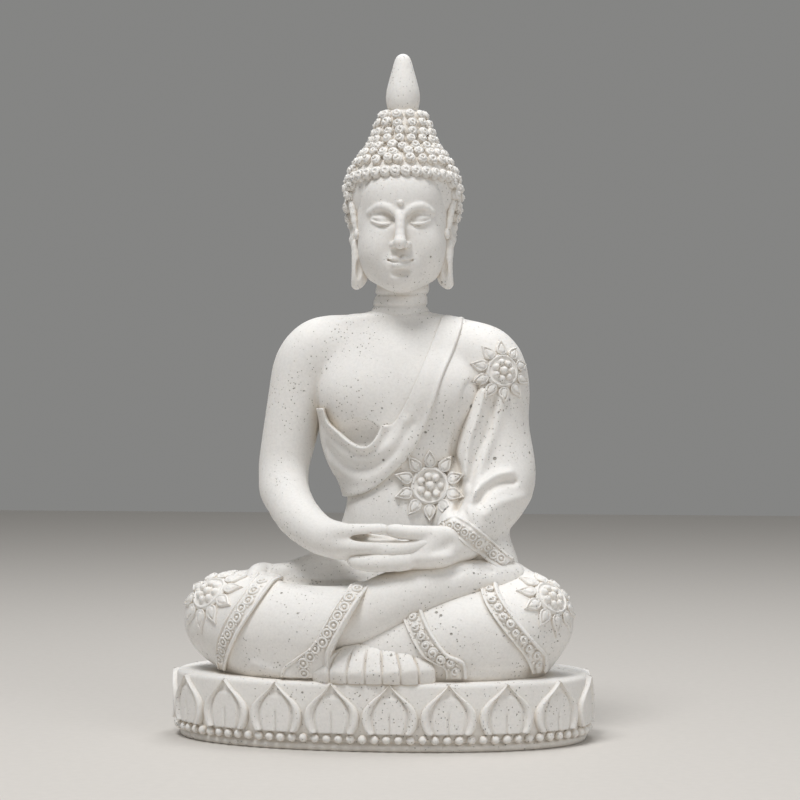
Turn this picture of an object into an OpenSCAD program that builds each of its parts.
// Seated meditating figure on an oval lotus plinth, cast in white stone composite.
// Millimetres, +Z up, the face looks along -Y, origin at the centre of the plinth's underside.
// "Right" and "left" are the figure's own sides, so its right arm lies towards -X.

/* [Plinth] */
// Overall width of the oval plinth
plinth_w = 130; // [110:1:160]
// Overall depth of the oval plinth
plinth_d = 77; // [72:1:96]
// Height of the plinth's top face
plinth_h = 20.5; // [17:0.5:26]
// Height of the plain band under the beads
foot_h = 2.4; // [1.6:0.2:4]
// Diameter of one bead of the string round the foot
bead_d = 2.6; // [2:0.1:3.2]
// Distance between bead centres
bead_pitch = 3.5; // [3.3:0.1:5]
// Number of lotus petals round the drum
petal_count = 19; // [13:1:21]
// How far a petal stands out of the drum
petal_relief = 1.1; // [0.6:0.1:1.8]

/* [Figure] */
// Sideways place of the spine, since the figure sits a little off the plinth's centre
spine_x = 5.2; // [0:0.2:7]
// Height of the waist, where the torso meets the seat of the robe
waist_z = 50; // [46:1:54]
// Height of the shoulders above the waist
torso_h = 82; // [76:1:92]
// Half the width across the chest
chest_w = 27.5; // [25:0.5:30]
// Height of the head from the chin to the top of the forehead
face_h = 38; // [34:1:42]
// Radius of the neck
neck_r = 8.2; // [7:0.2:9]
// Height of the hair from the forehead to the finial
crown_h = 18; // [14:1:24]
// Height of the flame finial
finial_h = 18; // [12:1:26]
// Largest radius of the finial
finial_r = 5.2; // [4:0.1:6.4]

/* [Ornament] */
// How far the sash stands out of the chest
sash_relief = 1.4; // [0.8:0.1:2]
// How far the trim bands stand out of the robe
band_relief = 1.0; // [0.6:0.1:1.6]
// Width of a trim band
band_w = 6.6; // [5:0.2:8]
// How far a rosette stands out of the robe
rosette_relief = 1.5; // [1:0.1:2.2]
// Radius of a rosette to its petal tips
rosette_r = 9.6; // [7.5:0.2:10.5]
// Number of petals on a rosette
rosette_petals = 10; // [7:1:12]
// Diameter of one curl of hair
curl_d = 3.2; // [2.4:0.1:3.8]

/* [Hidden] */
// Facets round a loft, and loft rings between two key rows
sides = 20;
steps = 2;
// Clearance that keeps a small applied piece off its seat
seat_gap = 0.05;
// Exponent of the plinth's oval: 2 is an ellipse, more is squarer
oval_power = 2.2;
// Longer than the figure, for cutting blocks and prisms
far = 300;

shoulder_z = waist_z + torso_h;
chin_z = shoulder_z + 5.5;
brow_z = chin_z + face_h;
crown_z = brow_z + crown_h;

// ---------- curves ----------
function spline_point(a, b, c, d, t) =
    0.5 * (2 * b + (c - a) * t + (2 * a - 5 * b + 4 * c - d) * t * t
        + (3 * b - a - 3 * c + d) * t * t * t);
function smooth_rows(rows, n = steps) = [
    for (i = [0 : len(rows) - 2], k = [0 : n - 1])
        spline_point(rows[max(i - 1, 0)], rows[i], rows[i + 1],
            rows[min(i + 2, len(rows) - 1)], k / n),
    rows[len(rows) - 1]
];
function unit(v) = v / norm(v);
function signed_power(v, p) = sign(v) * pow(abs(v), p);

// ---------- lofts ----------
// A closed loft through rings of points, each with the same number of points
module loft(rings) {
    n = len(rings[0]);
    last = len(rings) - 1;
    points = [for (ring = rings) each ring];
    walls = [
        for (i = [0 : last - 1], j = [0 : n - 1])
            let (a = i * n + j, b = i * n + (j + 1) % n)
            each [[a, a + n, b], [b, a + n, b + n]]
    ];
    bottom = [[for (j = [0 : n - 1]) j]];
    top = [[for (j = [n - 1 : -1 : 0]) last * n + j]];
    polyhedron(points = points, faces = concat(walls, bottom, top), convexity = 8);
}

// Level rings: each row is [z, centre x, centre y, half width, half depth]
function level_rings(rows, grow = 0) = [
    for (r = smooth_rows(rows)) [
        for (j = [0 : sides - 1])
            let (a = 360 * j / sides)
            [r[1] + (r[3] + grow) * cos(a), r[2] + (r[4] + grow) * sin(a), r[0]]
    ]
];
module stack(rows, grow = 0) {
    loft(level_rings(rows, grow));
}

// Rings square to a path: each row is [x, y, z, half width, half height]
function limb_rings(rows, grow = 0, flat = [0, 0, 1]) =
    let (s = smooth_rows(rows))
    [for (i = [0 : len(s) - 1])
        let (
            along = unit(xyz(s[min(i + 1, len(s) - 1)]) - xyz(s[max(i - 1, 0)])),
            side = unit(cross(along, flat)),
            up = cross(side, along)
        )
        [for (j = [0 : sides - 1])
            let (a = 360 * j / sides)
            xyz(s[i]) + side * (s[i][3] + grow) * cos(a) + up * (s[i][4] + grow) * sin(a)]
    ];
function xyz(row) = [row[0], row[1], row[2]];
module limb(rows, grow = 0, flat = [0, 0, 1]) {
    mirrored_loft(limb_rings(rows, grow, flat));
}
// A loft whose rings run the other way round
module mirrored_loft(rings) {
    loft([for (ring = rings) [for (j = [len(ring) - 1 : -1 : 0]) ring[j]]]);
}

// Carved lofts are kept as one mesh at their own size
module carved() {
    resize([0, 0, 0]) children();
}

// ---------- plinth ----------
plinth_sides = 72;
function oval_point(angle, inset = 0) = [
    (plinth_w / 2 - inset) * signed_power(cos(angle), 2 / oval_power),
    (plinth_d / 2 - inset) * signed_power(sin(angle), 2 / oval_power)
];
function oval(inset = 0) = [
    for (i = [0 : plinth_sides - 1]) oval_point(360 * i / plinth_sides, inset)
];
// The drum's wall bulges at mid height and rounds over at the top: [share of height, inset]
drum_profile = [[0, 1.4], [0.3, 0.8], [0.75, 1.1], [0.92, 2], [1, 3.2]];
module drum(grow = 0) {
    loft([
        for (p = drum_profile)
            let (ring = oval(p[1] - grow), z = foot_h + p[0] * (plinth_h - foot_h))
            [for (q = ring) [q[0], q[1], z]]
    ]);
}

// Distance along the oval at each angle, so that petals and beads are evenly spaced
walk_steps = 720;
walk = [for (i = [0 : walk_steps]) oval_point(360 * i / walk_steps)];
walk_lengths = [
    for (i = 0, total = 0; i <= walk_steps;
        total = total + (i < walk_steps ? norm(walk[i + 1] - walk[i]) : 0), i = i + 1)
        [total, 360 * i / walk_steps]
];
perimeter = walk_lengths[walk_steps][0];
function angle_at(share) = lookup(share * perimeter, walk_lengths);
function outward_at(angle) =
    let (t = oval_point(angle + 0.5) - oval_point(angle - 0.5))
    atan2(-t[0], t[1]);

module plinth_foot() {
    color("whitesmoke") difference() {
        linear_extrude(foot_h) polygon(oval(1.2));
        translate([0, 0, foot_h * 0.45]) linear_extrude(foot_h * 0.18) difference() {
            polygon(oval(0));
            polygon(oval(1.7));
        }
    }
}

module plinth_drum() {
    color("whitesmoke") carved() drum();
}

// Plain edge left above the petals' tips
petal_margin = 0.9;
petal_z = foot_h + bead_d + 2 * seat_gap;
petal_h = plinth_h - petal_z - petal_margin;
petal_w = perimeter / petal_count * 0.92;
// Onion outline of a lotus petal, standing on its base
function petal_outline() = [
    for (r = [
        [-0.36, 0], [-0.5, 0.28], [-0.44, 0.52], [-0.24, 0.74], [-0.06, 0.9], [0, 1],
        [0.06, 0.9], [0.24, 0.74], [0.44, 0.52], [0.5, 0.28], [0.36, 0]
    ]) [r[0] * petal_w, r[1] * petal_h]
];
module petal_prism() {
    rotate([90, 0, 90]) linear_extrude(8, center = true) polygon(petal_outline());
}
module lotus_petals() {
    color("white") carved() difference() {
        intersection() {
            drum(petal_relief);
            for (i = [0 : petal_count - 1]) petal_at(i) petal_prism();
        }
        drum();
    }
}
module petal_at(i) {
    angle = angle_at((i + 0.25) / petal_count);
    translate([each oval_point(angle, 1), petal_z]) rotate([0, 0, outward_at(angle)])
        children();
}

module bead_string() {
    count = floor(perimeter / bead_pitch);
    // The beads hang clear of the drum's wall and rest on the foot's rim
    color("white") for (i = [0 : count - 1]) {
        angle = angle_at(i / count);
        translate([each oval_point(angle, 1.4 - bead_d / 2 - seat_gap),
            foot_h + bead_d / 2 + seat_gap]) sphere(d = bead_d, $fn = 32);
    }
}

// ---------- seat and legs ----------
seat_x = spine_x * 0.6;
seat_rows = [
    [plinth_h, seat_x, 8, 37, 24], [plinth_h + 8, seat_x, 8, 36, 24.5],
    [plinth_h + 17, seat_x, 9, 31, 22], [waist_z - 5, spine_x, 10, 24.5, 18],
    [waist_z, spine_x, 10.5, 21.5, 16]
];
module seat_form(grow = 0) {
    stack(seat_rows, grow);
}

leg_z = plinth_h + 14.5;
right_thigh_rows = [
    [-8, 12, leg_z + 3, 13, 12], [-24, 4, leg_z + 2, 15, 13.5], [-38, -4, leg_z + 1, 15, 14.5],
    [-48, -8, leg_z + 0.5, 13, 14.5], [-55, -9, leg_z + 1, 9.5, 12], [-60.2, -9, leg_z + 2, 3, 5]
];
right_calf_rows = [
    [-50, -12, leg_z - 1, 11, 12.5], [-38, -17.5, leg_z - 1.5, 12, 13.5],
    [-24, -21.5, leg_z - 2.5, 11, 13], [-12, -23.5, leg_z - 4, 9, 11], [-7, -24, leg_z - 5, 6, 8]
];
module right_leg_form(grow = 0) {
    above_plinth() {
        limb(right_thigh_rows, grow);
        limb(right_calf_rows, grow);
    }
}
left_thigh_rows = [
    [16, 12, leg_z + 2.6, 13, 12], [28, 5, leg_z + 1.7, 14, 13], [40, -3, leg_z + 0.5, 14.5, 13.5],
    [49, -7, leg_z, 13, 14], [56, -8, leg_z + 1, 9, 11.5], [60.4, -8, leg_z + 2, 3, 5]
];
left_calf_rows = [
    [52, -11, leg_z - 2, 11, 12], [40, -17, leg_z - 4, 12, 12], [26, -21.5, leg_z - 5.5, 11.5, 11],
    [12, -24, leg_z - 7, 9.5, 9], [0, -24.5, leg_z - 8, 7, 7]
];
module left_leg_form(grow = 0) {
    above_plinth() {
        limb(left_thigh_rows, grow);
        limb(left_calf_rows, grow);
    }
}
shin_rows = [
    [-12, -25, leg_z - 1, 6, 7], [-2, -25.5, leg_z + 1.5, 7, 7.5], [12, -24, leg_z + 6, 7, 7],
    [24, -20, leg_z + 9.5, 6.5, 6], [31, -16, leg_z + 11, 5.5, 5]
];
module shin_form(grow = 0) {
    limb(shin_rows, grow);
}
foot_rows = [
    [27, -18, leg_z + 10.5, 4.6, 4.2], [33, -12, leg_z + 12.6, 6, 4.6], [38.5, -5, leg_z + 13.2, 6.6, 4.4],
    [43, 1, leg_z + 12.2, 4, 3]
];
// Keeps what lies above the plinth's top face
module above_plinth() {
    difference() {
        union() children();
        translate([-far / 2, -far / 2, plinth_h - far]) cube(far);
    }
}

module robe_seat() {
    color("whitesmoke") carved() stack(seat_rows);
}
module right_leg() {
    color("whitesmoke") carved() difference() {
        right_leg_form();
        seat_form();
        torso_form();
    }
}
module left_leg() {
    color("whitesmoke") carved() difference() {
        left_leg_form();
        seat_form();
        torso_form();
        right_leg_form();
    }
}
module right_shin() {
    color("white") carved() difference() {
        shin_form();
        left_leg_form();
        right_leg_form();
        seat_form();
    }
}
module right_foot() {
    color("white") carved() difference() {
        limb(foot_rows);
        shin_form();
        left_leg_form();
        sleeve_form();
    }
}

// Fan of pleats that spills from the hem on to the plinth
apron_r = 22;
apron_x = 0;
pleat_count = 8;
module pleated_apron() {
    color("white") carved() difference() {
        translate([apron_x, -plinth_d / 2 + 3.4, plinth_h]) for (i = [0 : pleat_count - 1]) {
            a = 15 + 150 * i / (pleat_count - 1);
            hull() {
                translate([0, 15, 0]) cylinder(d = 5, h = 9 + 0.1 * i, $fn = 18);
                translate([apron_r * 0.72 * cos(a), 9.5 - 8 * sin(a), 0])
                    cylinder(d1 = 6.6, d2 = 3.6, h = 2.6 + 0.05 * i, $fn = 16);
            }
        }
        left_leg_form(band_relief);
        right_leg_form(band_relief);
        shin_form();
        seat_form();
    }
}

// ---------- torso, arms and hands ----------
function torso_z(share) = waist_z + share * torso_h;
torso_rows = [
    [torso_z(0), spine_x, 10.5, 20, 15], [torso_z(0.12), spine_x, 10, 18.5, 14.2],
    [torso_z(0.25), spine_x, 9, 18.2, 14], [torso_z(0.4), spine_x, 8, chest_w - 6, 15],
    [torso_z(0.55), spine_x, 7.5, chest_w - 2, 16.5], [torso_z(0.68), spine_x, 7.5, chest_w, 17],
    [torso_z(0.8), spine_x, 8, chest_w + 1, 16], [torso_z(0.88), spine_x, 9, chest_w, 13.5],
    [torso_z(0.94), spine_x, 10, chest_w - 5, 11], [torso_z(0.985), spine_x, 10.5, neck_r + 3.5, 9.6],
    [shoulder_z, spine_x, 10, neck_r, neck_r]
];
module torso_form(grow = 0) {
    stack(torso_rows, grow);
}
module torso() {
    color("white") carved() torso_form();
}

arm_x = chest_w + 5;
// The wrists lie where the hands rest in the lap, whatever the chest's width
right_wrist_x = 15;
left_wrist_x = 17;
// Distance of a forearm from the spine, at a share of the way from elbow to wrist
function forearm_x(elbow, wrist, share) = elbow + (wrist - elbow) * share;
right_arm_rows = [
    [spine_x - arm_x + 17, 9.5, torso_z(0.86), 7, 7], [spine_x - arm_x + 8.5, 9.5, torso_z(0.83), 8.8, 8.8],
    [spine_x - arm_x + 2, 9, torso_z(0.765), 8.8, 8.8], [spine_x - arm_x - 0.8, 8.5, torso_z(0.67), 8.2, 8.6],
    [spine_x - arm_x - 3, 8, torso_z(0.53), 7.6, 8], [spine_x - arm_x - 5, 7, torso_z(0.4), 6.8, 7.2],
    [spine_x - arm_x - 4.2, 3, torso_z(0.31), 6.6, 6.6],
    [spine_x - forearm_x(arm_x + 4.2, right_wrist_x, 0.309), -8, torso_z(0.21), 6, 6.2],
    [spine_x - forearm_x(arm_x + 4.2, right_wrist_x, 0.7), -19, torso_z(0.145), 5, 5.4],
    [spine_x - right_wrist_x, -25, torso_z(0.125), 3.8, 4.8]
];
module right_arm_form(grow = 0) {
    limb(right_arm_rows, grow, [0.2, 0.6, 0.77]);
}
module right_arm() {
    color("white") carved() difference() {
        right_arm_form();
        torso_form();
        right_leg_form();
        seat_form();
        shin_form();
    }
}

sleeve_rows = [
    [spine_x + arm_x - 17, 9.5, torso_z(0.86), 7.5, 7.5], [spine_x + arm_x - 8.5, 9.5, torso_z(0.83), 9.2, 9.4],
    [spine_x + arm_x - 3.2, 9, torso_z(0.765), 9.2, 9.6], [spine_x + arm_x - 1.6, 8.5, torso_z(0.67), 8.6, 10],
    [spine_x + arm_x, 8, torso_z(0.52), 8.4, 10],
    [spine_x + arm_x + 1, 6, torso_z(0.37), 8.4, 9.2], [spine_x + arm_x - 1.5, 0, torso_z(0.26), 8, 9],
    [spine_x + forearm_x(arm_x + 1, left_wrist_x, 0.53), -9, torso_z(0.18), 8, 8.4],
    [spine_x + left_wrist_x, -16, torso_z(0.14), 7, 6.6]
];
module sleeve_form(grow = 0) {
    limb(sleeve_rows, grow, [-0.2, 0.6, 0.77]);
}
module left_sleeve() {
    color("whitesmoke") carved() difference() {
        sleeve_form();
        torso_form();
        left_leg_form();
        seat_form();
        shin_form();
    }
}

hand_z = torso_z(0.135);
right_hand_rows = [
    [spine_x - 16, -25, hand_z - 0.5, 4.4, 4.4], [spine_x - 9, -27, hand_z, 6.4, 4.6],
    [spine_x, -27.5, hand_z - 0.5, 6.6, 4.2], [spine_x + 9, -27, hand_z - 0.8, 5.4, 3.4],
    [spine_x + 14.5, -26, hand_z - 0.8, 3, 2]
];
left_hand_rows = [
    [spine_x + 21, -17, hand_z - 2.4, 5, 4.2], [spine_x + 13, -24, hand_z - 5, 6.6, 4.4],
    [spine_x + 4, -27.5, hand_z - 6.8, 7, 4], [spine_x - 6, -28, hand_z - 6.6, 6, 3.2],
    [spine_x - 11.5, -27.5, hand_z - 5.8, 3.4, 2]
];
module right_hand() {
    color("white") carved() difference() {
        limb(right_hand_rows);
        right_arm_form();
        torso_form();
        shin_form();
    }
}
module left_hand() {
    color("white") carved() difference() {
        limb(left_hand_rows);
        limb(right_hand_rows);
        right_arm_form();
        sleeve_form();
        torso_form();
        shin_form();
        left_leg_form();
        right_leg_form();
        seat_form();
    }
}

// ---------- robe folds and sash ----------
// A prism through the chest: the outline is [x from the spine, share of the torso's height]
module front_prism(outline) {
    translate([spine_x, 0, 0]) rotate([90, 0, 0]) linear_extrude(far) polygon([
        for (r = smooth_rows(outline, 3)) [r[0], torso_z(r[1])]
    ]);
}
sash_outline = [
    [11.5, 0.955], [6.4, 0.785], [1, 0.65], [-5.5, 0.53], [-12, 0.445], [-19, 0.405],
    [-16, 0.3], [-6, 0.34], [2, 0.43], [8, 0.54], [13, 0.67], [16, 0.81], [17, 0.93]
];
module robe_sash() {
    color("whitesmoke") carved() difference() {
        intersection() {
            torso_form(sash_relief);
            front_prism(sash_outline);
        }
        torso_form();
        right_arm_form();
        sleeve_form();
    }
}
fold_outline = [
    [-27, 0.63], [-22, 0.565], [-14, 0.505], [-7, 0.515], [-2, 0.57], [-1, 0.5], [-8, 0.42],
    [-17, 0.37], [-25, 0.43], [-29, 0.54]
];
module robe_fold() {
    color("whitesmoke") carved() difference() {
        intersection() {
            torso_form(sash_relief * 0.8);
            front_prism(fold_outline);
        }
        torso_form();
        front_prism(sash_outline);
        right_arm_form();
    }
}

// ---------- head ----------
head_rows = [
    [chin_z, spine_x, 0.5, 3.4, 3.4], [chin_z + 1.2, spine_x, 1, 6.4, 6.6],
    [chin_z + 5, spine_x, 3, 10.2, 11], [chin_z + 12, spine_x, 5.2, 13.4, 14],
    [chin_z + 20, spine_x, 6.8, 14.8, 16], [chin_z + 28, spine_x, 7.4, 15.2, 16.6],
    [brow_z - 3, spine_x, 8, 14.8, 16.2], [brow_z, spine_x, 8.2, 14, 15.2]
];
module head_form(grow = 0) {
    stack(head_rows, grow);
}
module head() {
    color("white") carved() difference() {
        head_form();
        neck_form(seat_gap);
    }
}
module neck_form(grow = 0) {
    translate([spine_x, 8.5, shoulder_z])
        cylinder(r = neck_r + grow, h = chin_z + 14 + grow - shoulder_z, $fn = 48);
}
module neck() {
    color("white") difference() {
        neck_form();
        for (z = [1.5, 5.8]) translate([spine_x, 8.5, shoulder_z + z]) rotate_extrude($fn = 48)
            translate([neck_r, 0]) circle(r = 0.3, $fn = 16);
    }
}
ear_x = 15.6;
ear_rows = [
    [1.2, 6, 24.5, 1.2, 2], [1.3, 5.6, 21, 2, 3.4], [0.4, 5, 15, 1.8, 3], [0.2, 4.2, 9, 1.8, 2.6],
    [1.4, 3.2, 3.5, 2, 3], [1.6, 3, 0.6, 1.2, 1.8]
];
module ear_form(side) {
    limb([for (r = ear_rows) [spine_x + side * (ear_x + r[0]), r[1], chin_z + r[2], r[3], r[4]]],
        0, [0, 1, 0]);
}
module ear(side) {
    color("white") carved() difference() {
        ear_form(side);
        head_form();
    }
}
module right_ear() {
    ear(-1);
}
module left_ear() {
    ear(1);
}
module forehead_mark() {
    z = chin_z + 27;
    color("white") translate([spine_x, 7.4 - 16.6 - seat_gap, z]) rotate([90, 0, 0])
        intersection() {
            sphere(d = 2.4, $fn = 32);
            cylinder(d = 3, h = 3, $fn = 32);
        }
}

// ---------- hair ----------
hair_rows = [
    [chin_z + 14, spine_x, 13, 13.6, 10], [chin_z + 19, spine_x, 11, 16.2, 14],
    [chin_z + 26, spine_x, 10.2, 17.8, 16], [brow_z - 5, spine_x, 9.6, 18.3, 17.2],
    [brow_z, spine_x, 9.4, 17.4, 17.6], [brow_z + crown_h * 0.22, spine_x, 9.2, 15.4, 15.8],
    [brow_z + crown_h * 0.45, spine_x, 9, 12, 12.4], [brow_z + crown_h * 0.7, spine_x, 9, 9.8, 10],
    [brow_z + crown_h * 0.9, spine_x, 9, 7.6, 7.8], [crown_z, spine_x, 9, 4.6, 4.6]
];
module hair_cap() {
    color("white") carved() difference() {
        stack(hair_rows);
        head_form();
        ear_form(-1);
        ear_form(1);
    }
}
// A curl is a low dome that stands on the hair, facing outwards
module curl(place, turn, tilt, size) {
    translate(place) rotate([0, 0, turn]) rotate([0, 90 - tilt, 0]) intersection() {
        sphere(d = size, $fn = 24);
        cylinder(d = size * 1.2, h = size, $fn = 24);
    }
}
function hair_row(z) = [
    for (k = [1 : 4]) lookup(z, [for (r = smooth_rows(hair_rows)) [r[0], r[k]]])
];
// A ring of curls at a height, over the angles from first to last
module curl_ring(z, first, last, size) {
    h = hair_row(z);
    above = hair_row(z + 1);
    tilt = atan2(h[2] - above[2], 1);
    out = seat_gap + 0.12;
    count = max(5, floor((last - first) / 360 * PI * (h[2] + h[3]) / (size * 1.08)));
    for (i = [0 : count - 1]) {
        a = first + (last - first) * i / (last - first < 360 ? count - 1 : count);
        curl([h[0] + (h[2] + out) * cos(a), h[1] + (h[3] + out) * sin(a), z], a, tilt, size);
    }
}
module hairline_curls() {
    // Along the forehead, then as many down each temple as fit above the ear
    first_z = brow_z - 1.5;
    pitch = curl_d * 1.05;
    temple_count = floor((first_z - chin_z - ear_rows[0][2]) / pitch);
    color("white") {
        curl_ring(first_z, -150, -30, curl_d);
        for (side = [-1, 1], k = [1 : temple_count]) {
            z = first_z - k * pitch;
            h = hair_row(z);
            a = -90 + side * (57 + k * 2);
            curl([h[0] + (h[2] + 0.35) * cos(a), h[1] + (h[3] + 0.35) * sin(a), z],
                a, 0, curl_d * 0.94);
        }
    }
}
module crown_curls() {
    color("white") {
        for (k = [0 : 2]) curl_ring(brow_z - 5 - k * curl_d * 1.3125, 4, 176, curl_d * 0.95);
        curl_ring(brow_z - 0.6, -16, 196, curl_d * 0.95);
        for (share = [0.2, 0.4, 0.6, 0.8])
            curl_ring(brow_z + crown_h * share, 0, 360, curl_d * (0.95 - share * 0.2));
    }
}
// Flame finial: [share of height, share of radius]
finial_profile = [
    [0, 0.86], [0.15, 1], [0.35, 0.96], [0.55, 0.8], [0.75, 0.62], [0.9, 0.45], [0.97, 0.28], [1, 0]
];
module flame_finial() {
    color("white") translate([spine_x, 9, crown_z]) rotate_extrude($fn = 64) polygon(concat(
        [[0, 0]], [for (r = smooth_rows(finial_profile, 4)) [max(0, r[1]) * finial_r, r[0] * finial_h]]
    ));
}

// ---------- applied ornament ----------
// Flower outline, drawn flat: a round heart with pointed petals
module rosette_flat() {
    circle(r = rosette_r * 0.5, $fn = 30);
    for (i = [0 : rosette_petals - 1]) rotate(360 * i / rosette_petals) polygon([
        for (p = [[0.42, 0], [0.6, 0.15], [0.8, 0.14], [1, 0], [0.8, -0.14], [0.6, -0.15]])
            p * rosette_r
    ]);
}
// A prism through the flower at a place, facing along a direction given by turn and tilt
module rosette_prism(place, turn, tilt) {
    translate(place) rotate([0, 0, turn]) rotate([90 - tilt, 0, 0])
        translate([0, 0, -4]) linear_extrude(14) rosette_flat();
}
waist_rosette_at = [spine_x + 9.6, -7, torso_z(0.32)];
shoulder_rosette_at = [spine_x + arm_x - 2.5, 1, torso_z(0.735)];
right_knee_rosette_at = [-51.5, -19, leg_z + 5.5];
left_knee_rosette_at = [51.5, -18, leg_z + 6.5];
module waist_rosette() {
    color("white") carved() difference() {
        intersection() {
            torso_form(rosette_relief);
            rosette_prism(waist_rosette_at, 8, 0);
        }
        torso_form();
        front_prism(sash_outline);
        sleeve_form();
    }
}
module shoulder_rosette() {
    color("white") carved() difference() {
        intersection() {
            sleeve_form(rosette_relief);
            rosette_prism(shoulder_rosette_at, 20, 6);
        }
        sleeve_form();
        torso_form();
    }
}
module right_knee_rosette() {
    color("white") carved() difference() {
        intersection() {
            right_leg_form(rosette_relief);
            rosette_prism(right_knee_rosette_at, -34, 28);
        }
        right_leg_form();
        band_slab(right_knee_band_at);
    }
}
module left_knee_rosette() {
    color("white") carved() difference() {
        intersection() {
            left_leg_form(rosette_relief);
            rosette_prism(left_knee_rosette_at, 34, 28);
        }
        left_leg_form();
        band_slab(left_knee_band_at);
    }
}

// A slab that cuts a band out of a limb: [place, turn about Z, lean from upright]
module band_slab(at) {
    translate(at[0]) rotate([0, 0, at[1]]) rotate([0, at[2], 0])
        cube([band_w, far / 2, far / 2], center = true);
}
right_knee_band_at = [[-43, -20, leg_z], 12, 38];
right_hem_band_at = [[-15, -24, leg_z - 2], 4, 38];
left_hem_band_at = [[15, -26, leg_z - 6], -8, -38];
left_knee_band_at = [[40, -20, leg_z - 2], -14, -38];
module front_block() {
    translate([-far / 2, -far - 6, 0]) cube([far, far, far]);
}
module right_knee_band() {
    color("white") carved() difference() {
        intersection() {
            right_leg_form(band_relief);
            band_slab(right_knee_band_at);
            front_block();
        }
        right_leg_form();
        left_leg_form();
        seat_form();
    }
}
module right_hem_band() {
    color("white") carved() difference() {
        intersection() {
            right_leg_form(band_relief);
            band_slab(right_hem_band_at);
            front_block();
        }
        right_leg_form();
        left_leg_form();
        shin_form();
        limb(left_hand_rows);
        seat_form();
    }
}
module left_hem_band() {
    color("white") carved() difference() {
        intersection() {
            left_leg_form(band_relief);
            band_slab(left_hem_band_at);
            front_block();
        }
        left_leg_form();
        right_leg_form(band_relief);
        shin_form();
        seat_form();
    }
}
module left_knee_band() {
    color("white") carved() difference() {
        intersection() {
            left_leg_form(band_relief);
            band_slab(left_knee_band_at);
            front_block();
        }
        left_leg_form();
        shin_form();
        limb(foot_rows);
        seat_form();
        sleeve_form();
    }
}
cuff_at = [[spine_x + arm_x - 12, -13, torso_z(0.16)], 0, 40];
module cuff_band() {
    color("white") carved() difference() {
        intersection() {
            sleeve_form(band_relief);
            band_slab([cuff_at[0], cuff_at[1], -cuff_at[2]]);
        }
        sleeve_form();
        torso_form();
        left_leg_form();
        seat_form();
        shin_form();
        limb(left_hand_rows);
        limb(foot_rows);
    }
}

plinth_foot();
plinth_drum();
lotus_petals();
bead_string();
robe_seat();
right_leg();
left_leg();
right_shin();
right_foot();
pleated_apron();
torso();
right_arm();
left_sleeve();
right_hand();
left_hand();
neck();
head();
right_ear();
left_ear();
forehead_mark();
hair_cap();
hairline_curls();
crown_curls();
flame_finial();
robe_sash();
robe_fold();
shoulder_rosette();
waist_rosette();
right_knee_rosette();
left_knee_rosette();
cuff_band();
right_knee_band();
right_hem_band();
left_hem_band();
left_knee_band();
